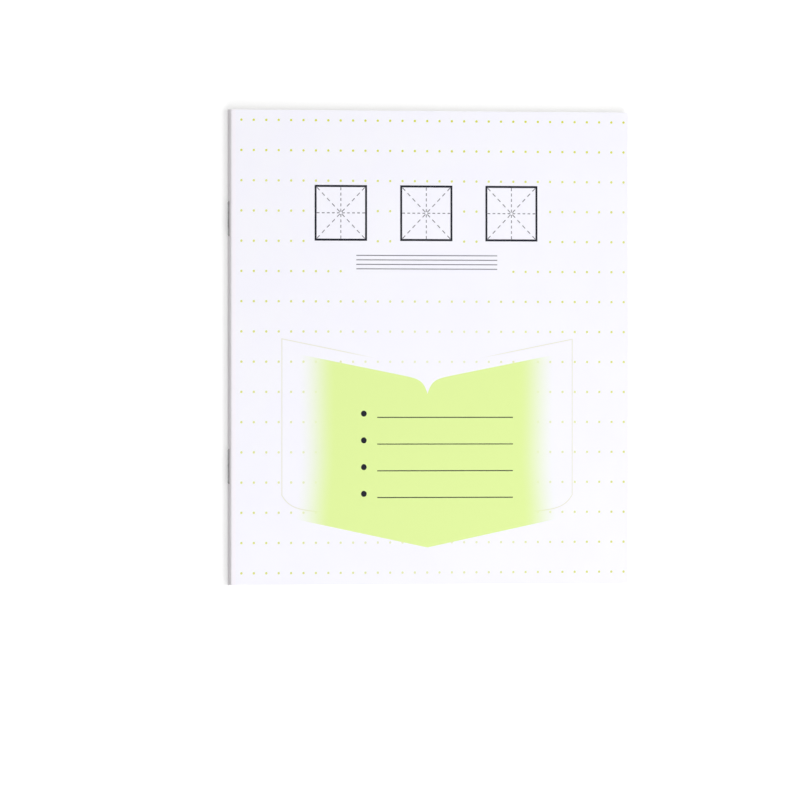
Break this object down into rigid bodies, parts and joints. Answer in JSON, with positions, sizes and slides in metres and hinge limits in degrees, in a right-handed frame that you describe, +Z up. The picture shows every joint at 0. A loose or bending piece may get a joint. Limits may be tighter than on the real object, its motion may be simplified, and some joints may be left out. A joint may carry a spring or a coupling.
{
  "type": "stapled exercise book",
  "caption": "Thin school exercise book with a folded card cover and nested ruled leaves, wire-stapled through the spine so that cover and leaves open on the fold.",
  "frame": {"origin": "under the middle of the closed book, staples included, on the table plane", "axes": "+X from the spine to the fore edge, +Y from the tail to the head, +Z up out of the front cover"},
  "size_m": [0.1706, 0.19, 0.0041],
  "materials": {
    "cover_card": "smooth coated",
    "leaf_paper": "uncoated",
    "staple_wire": "bright wire"
  },
  "bodies": {
    "back_half": {"back_cover": "cover_card", "cover_spine": "cover_card", "sheet_01_back_leaf": "leaf_paper", "sheet_01_fold": "leaf_paper"},
    "front_leaf_01": {"sheet_01_front_leaf": "leaf_paper"},
    "front_cover": {"front_cover": "cover_card"},
    "back_leaf_02": {"sheet_02_back_leaf": "leaf_paper", "sheet_02_fold": "leaf_paper"},
    "front_leaf_02": {"sheet_02_front_leaf": "leaf_paper"},
    "back_leaf_03": {"sheet_03_back_leaf": "leaf_paper", "sheet_03_fold": "leaf_paper"},
    "front_leaf_03": {"sheet_03_front_leaf": "leaf_paper"},
    "back_leaf_04": {"sheet_04_back_leaf": "leaf_paper", "sheet_04_fold": "leaf_paper"},
    "front_leaf_04": {"sheet_04_front_leaf": "leaf_paper"},
    "back_leaf_05": {"sheet_05_back_leaf": "leaf_paper", "sheet_05_fold": "leaf_paper"},
    "front_leaf_05": {"sheet_05_front_leaf": "leaf_paper"},
    "back_leaf_06": {"sheet_06_back_leaf": "leaf_paper", "sheet_06_fold": "leaf_paper"},
    "front_leaf_06": {"sheet_06_front_leaf": "leaf_paper"},
    "back_leaf_07": {"sheet_07_back_leaf": "leaf_paper", "sheet_07_fold": "leaf_paper"},
    "front_leaf_07": {"sheet_07_front_leaf": "leaf_paper"},
    "back_leaf_08": {"sheet_08_back_leaf": "leaf_paper", "sheet_08_fold": "leaf_paper"},
    "front_leaf_08": {"sheet_08_front_leaf": "leaf_paper"},
    "back_leaf_09": {"sheet_09_back_leaf": "leaf_paper", "sheet_09_fold": "leaf_paper"},
    "front_leaf_09": {"sheet_09_front_leaf": "leaf_paper"},
    "back_leaf_10": {"sheet_10_back_leaf": "leaf_paper", "sheet_10_fold": "leaf_paper"},
    "front_leaf_10": {"sheet_10_front_leaf": "leaf_paper"},
    "back_leaf_11": {"sheet_11_back_leaf": "leaf_paper", "sheet_11_fold": "leaf_paper"},
    "front_leaf_11": {"sheet_11_front_leaf": "leaf_paper"},
    "back_leaf_12": {"sheet_12_back_leaf": "leaf_paper", "sheet_12_fold": "leaf_paper"},
    "front_leaf_12": {"sheet_12_front_leaf": "leaf_paper"},
    "back_leaf_13": {"sheet_13_back_leaf": "leaf_paper", "sheet_13_fold": "leaf_paper"},
    "front_leaf_13": {"sheet_13_front_leaf": "leaf_paper"},
    "back_leaf_14": {"sheet_14_back_leaf": "leaf_paper", "sheet_14_fold": "leaf_paper"},
    "front_leaf_14": {"sheet_14_front_leaf": "leaf_paper"},
    "back_leaf_15": {"sheet_15_back_leaf": "leaf_paper", "sheet_15_fold": "leaf_paper"},
    "front_leaf_15": {"sheet_15_front_leaf": "leaf_paper"},
    "back_leaf_16": {"sheet_16_back_leaf": "leaf_paper", "sheet_16_fold": "leaf_paper"},
    "front_leaf_16": {"sheet_16_front_leaf": "leaf_paper"},
    "staples": {"upper_staple": "staple_wire", "lower_staple": "staple_wire"}
  },
  "joints": [
    {"name": "book_opening", "type": "hinge", "parent": "back_half", "child": "front_leaf_01", "pos_m": [-0.08267, 0, 0.00203], "axis": [0, -1, 0], "range_deg": [0, 179], "deforming": ["cover_spine", "sheet_01_fold"]},
    {"name": "front_cover_turn", "type": "hinge", "parent": "front_leaf_01", "child": "front_cover", "pos_m": [-0.08267, 0, 0.00409], "axis": [0, -1, 0], "range_deg": [0, 178]},
    {"name": "back_leaf_02_lift", "type": "hinge", "parent": "back_half", "child": "back_leaf_02", "pos_m": [-0.08267, 0, 0.00203], "axis": [0, -1, 0], "range_deg": [0, 1.4]},
    {"name": "front_leaf_02_turn", "type": "hinge", "parent": "back_leaf_02", "child": "front_leaf_02", "pos_m": [-0.08267, 0, 0.00203], "axis": [0, -1, 0], "range_deg": [0, 176.2], "deforming": ["sheet_02_fold"]},
    {"name": "back_leaf_03_lift", "type": "hinge", "parent": "back_half", "child": "back_leaf_03", "pos_m": [-0.08267, 0, 0.00203], "axis": [0, -1, 0], "range_deg": [0, 2.8]},
    {"name": "front_leaf_03_turn", "type": "hinge", "parent": "back_leaf_03", "child": "front_leaf_03", "pos_m": [-0.08267, 0, 0.00203], "axis": [0, -1, 0], "range_deg": [0, 173.4], "deforming": ["sheet_03_fold"]},
    {"name": "back_leaf_04_lift", "type": "hinge", "parent": "back_half", "child": "back_leaf_04", "pos_m": [-0.08267, 0, 0.00203], "axis": [0, -1, 0], "range_deg": [0, 4.2]},
    {"name": "front_leaf_04_turn", "type": "hinge", "parent": "back_leaf_04", "child": "front_leaf_04", "pos_m": [-0.08267, 0, 0.00203], "axis": [0, -1, 0], "range_deg": [0, 170.6], "deforming": ["sheet_04_fold"]},
    {"name": "back_leaf_05_lift", "type": "hinge", "parent": "back_half", "child": "back_leaf_05", "pos_m": [-0.08267, 0, 0.00203], "axis": [0, -1, 0], "range_deg": [0, 5.6]},
    {"name": "front_leaf_05_turn", "type": "hinge", "parent": "back_leaf_05", "child": "front_leaf_05", "pos_m": [-0.08267, 0, 0.00203], "axis": [0, -1, 0], "range_deg": [0, 167.8], "deforming": ["sheet_05_fold"]},
    {"name": "back_leaf_06_lift", "type": "hinge", "parent": "back_half", "child": "back_leaf_06", "pos_m": [-0.08267, 0, 0.00203], "axis": [0, -1, 0], "range_deg": [0, 7]},
    {"name": "front_leaf_06_turn", "type": "hinge", "parent": "back_leaf_06", "child": "front_leaf_06", "pos_m": [-0.08267, 0, 0.00203], "axis": [0, -1, 0], "range_deg": [0, 165], "deforming": ["sheet_06_fold"]},
    {"name": "back_leaf_07_lift", "type": "hinge", "parent": "back_half", "child": "back_leaf_07", "pos_m": [-0.08267, 0, 0.00203], "axis": [0, -1, 0], "range_deg": [0, 8.4]},
    {"name": "front_leaf_07_turn", "type": "hinge", "parent": "back_leaf_07", "child": "front_leaf_07", "pos_m": [-0.08267, 0, 0.00203], "axis": [0, -1, 0], "range_deg": [0, 162.2], "deforming": ["sheet_07_fold"]},
    {"name": "back_leaf_08_lift", "type": "hinge", "parent": "back_half", "child": "back_leaf_08", "pos_m": [-0.08267, 0, 0.00203], "axis": [0, -1, 0], "range_deg": [0, 9.8]},
    {"name": "front_leaf_08_turn", "type": "hinge", "parent": "back_leaf_08", "child": "front_leaf_08", "pos_m": [-0.08267, 0, 0.00203], "axis": [0, -1, 0], "range_deg": [0, 159.4], "deforming": ["sheet_08_fold"]},
    {"name": "back_leaf_09_lift", "type": "hinge", "parent": "back_half", "child": "back_leaf_09", "pos_m": [-0.08267, 0, 0.00203], "axis": [0, -1, 0], "range_deg": [0, 11.2]},
    {"name": "front_leaf_09_turn", "type": "hinge", "parent": "back_leaf_09", "child": "front_leaf_09", "pos_m": [-0.08267, 0, 0.00203], "axis": [0, -1, 0], "range_deg": [0, 156.6], "deforming": ["sheet_09_fold"]},
    {"name": "back_leaf_10_lift", "type": "hinge", "parent": "back_half", "child": "back_leaf_10", "pos_m": [-0.08267, 0, 0.00203], "axis": [0, -1, 0], "range_deg": [0, 12.6]},
    {"name": "front_leaf_10_turn", "type": "hinge", "parent": "back_leaf_10", "child": "front_leaf_10", "pos_m": [-0.08267, 0, 0.00203], "axis": [0, -1, 0], "range_deg": [0, 153.8], "deforming": ["sheet_10_fold"]},
    {"name": "back_leaf_11_lift", "type": "hinge", "parent": "back_half", "child": "back_leaf_11", "pos_m": [-0.08267, 0, 0.00203], "axis": [0, -1, 0], "range_deg": [0, 14]},
    {"name": "front_leaf_11_turn", "type": "hinge", "parent": "back_leaf_11", "child": "front_leaf_11", "pos_m": [-0.08267, 0, 0.00203], "axis": [0, -1, 0], "range_deg": [0, 151], "deforming": ["sheet_11_fold"]},
    {"name": "back_leaf_12_lift", "type": "hinge", "parent": "back_half", "child": "back_leaf_12", "pos_m": [-0.08267, 0, 0.00203], "axis": [0, -1, 0], "range_deg": [0, 15.4]},
    {"name": "front_leaf_12_turn", "type": "hinge", "parent": "back_leaf_12", "child": "front_leaf_12", "pos_m": [-0.08267, 0, 0.00203], "axis": [0, -1, 0], "range_deg": [0, 148.2], "deforming": ["sheet_12_fold"]},
    {"name": "back_leaf_13_lift", "type": "hinge", "parent": "back_half", "child": "back_leaf_13", "pos_m": [-0.08267, 0, 0.00203], "axis": [0, -1, 0], "range_deg": [0, 16.8]},
    {"name": "front_leaf_13_turn", "type": "hinge", "parent": "back_leaf_13", "child": "front_leaf_13", "pos_m": [-0.08267, 0, 0.00203], "axis": [0, -1, 0], "range_deg": [0, 145.4], "deforming": ["sheet_13_fold"]},
    {"name": "back_leaf_14_lift", "type": "hinge", "parent": "back_half", "child": "back_leaf_14", "pos_m": [-0.08267, 0, 0.00203], "axis": [0, -1, 0], "range_deg": [0, 18.2]},
    {"name": "front_leaf_14_turn", "type": "hinge", "parent": "back_leaf_14", "child": "front_leaf_14", "pos_m": [-0.08267, 0, 0.00203], "axis": [0, -1, 0], "range_deg": [0, 142.6], "deforming": ["sheet_14_fold"]},
    {"name": "back_leaf_15_lift", "type": "hinge", "parent": "back_half", "child": "back_leaf_15", "pos_m": [-0.08267, 0, 0.00203], "axis": [0, -1, 0], "range_deg": [0, 19.6]},
    {"name": "front_leaf_15_turn", "type": "hinge", "parent": "back_leaf_15", "child": "front_leaf_15", "pos_m": [-0.08267, 0, 0.00203], "axis": [0, -1, 0], "range_deg": [0, 139.8], "deforming": ["sheet_15_fold"]},
    {"name": "back_leaf_16_lift", "type": "hinge", "parent": "back_half", "child": "back_leaf_16", "pos_m": [-0.08267, 0, 0.00203], "axis": [0, -1, 0], "range_deg": [0, 21]},
    {"name": "front_leaf_16_turn", "type": "hinge", "parent": "back_leaf_16", "child": "front_leaf_16", "pos_m": [-0.08267, 0, 0.00203], "axis": [0, -1, 0], "range_deg": [0, 137], "deforming": ["sheet_16_fold"]},
    {"name": "staples_turn", "type": "hinge", "parent": "back_half", "child": "staples", "pos_m": [-0.08267, 0, 0.00203], "axis": [0, -1, 0], "range_deg": [0, 89.5]}
  ],
  "couplings": [
    {"joint": "back_leaf_02_lift", "follows": "book_opening", "ratio": 0.007821},
    {"joint": "front_leaf_02_turn", "follows": "book_opening", "ratio": 0.98436},
    {"joint": "back_leaf_03_lift", "follows": "book_opening", "ratio": 0.015642},
    {"joint": "front_leaf_03_turn", "follows": "book_opening", "ratio": 0.96871},
    {"joint": "back_leaf_04_lift", "follows": "book_opening", "ratio": 0.023464},
    {"joint": "front_leaf_04_turn", "follows": "book_opening", "ratio": 0.95307},
    {"joint": "back_leaf_05_lift", "follows": "book_opening", "ratio": 0.031285},
    {"joint": "front_leaf_05_turn", "follows": "book_opening", "ratio": 0.93743},
    {"joint": "back_leaf_06_lift", "follows": "book_opening", "ratio": 0.039106},
    {"joint": "front_leaf_06_turn", "follows": "book_opening", "ratio": 0.92179},
    {"joint": "back_leaf_07_lift", "follows": "book_opening", "ratio": 0.046927},
    {"joint": "front_leaf_07_turn", "follows": "book_opening", "ratio": 0.90614},
    {"joint": "back_leaf_08_lift", "follows": "book_opening", "ratio": 0.054749},
    {"joint": "front_leaf_08_turn", "follows": "book_opening", "ratio": 0.8905},
    {"joint": "back_leaf_09_lift", "follows": "book_opening", "ratio": 0.06257},
    {"joint": "front_leaf_09_turn", "follows": "book_opening", "ratio": 0.87486},
    {"joint": "back_leaf_10_lift", "follows": "book_opening", "ratio": 0.070391},
    {"joint": "front_leaf_10_turn", "follows": "book_opening", "ratio": 0.85922},
    {"joint": "back_leaf_11_lift", "follows": "book_opening", "ratio": 0.078212},
    {"joint": "front_leaf_11_turn", "follows": "book_opening", "ratio": 0.84357},
    {"joint": "back_leaf_12_lift", "follows": "book_opening", "ratio": 0.086034},
    {"joint": "front_leaf_12_turn", "follows": "book_opening", "ratio": 0.82793},
    {"joint": "back_leaf_13_lift", "follows": "book_opening", "ratio": 0.093855},
    {"joint": "front_leaf_13_turn", "follows": "book_opening", "ratio": 0.81229},
    {"joint": "back_leaf_14_lift", "follows": "book_opening", "ratio": 0.10168},
    {"joint": "front_leaf_14_turn", "follows": "book_opening", "ratio": 0.79665},
    {"joint": "back_leaf_15_lift", "follows": "book_opening", "ratio": 0.1095},
    {"joint": "front_leaf_15_turn", "follows": "book_opening", "ratio": 0.78101},
    {"joint": "back_leaf_16_lift", "follows": "book_opening", "ratio": 0.11732},
    {"joint": "front_leaf_16_turn", "follows": "book_opening", "ratio": 0.76536},
    {"joint": "staples_turn", "follows": "book_opening", "ratio": 0.5}
  ]
}
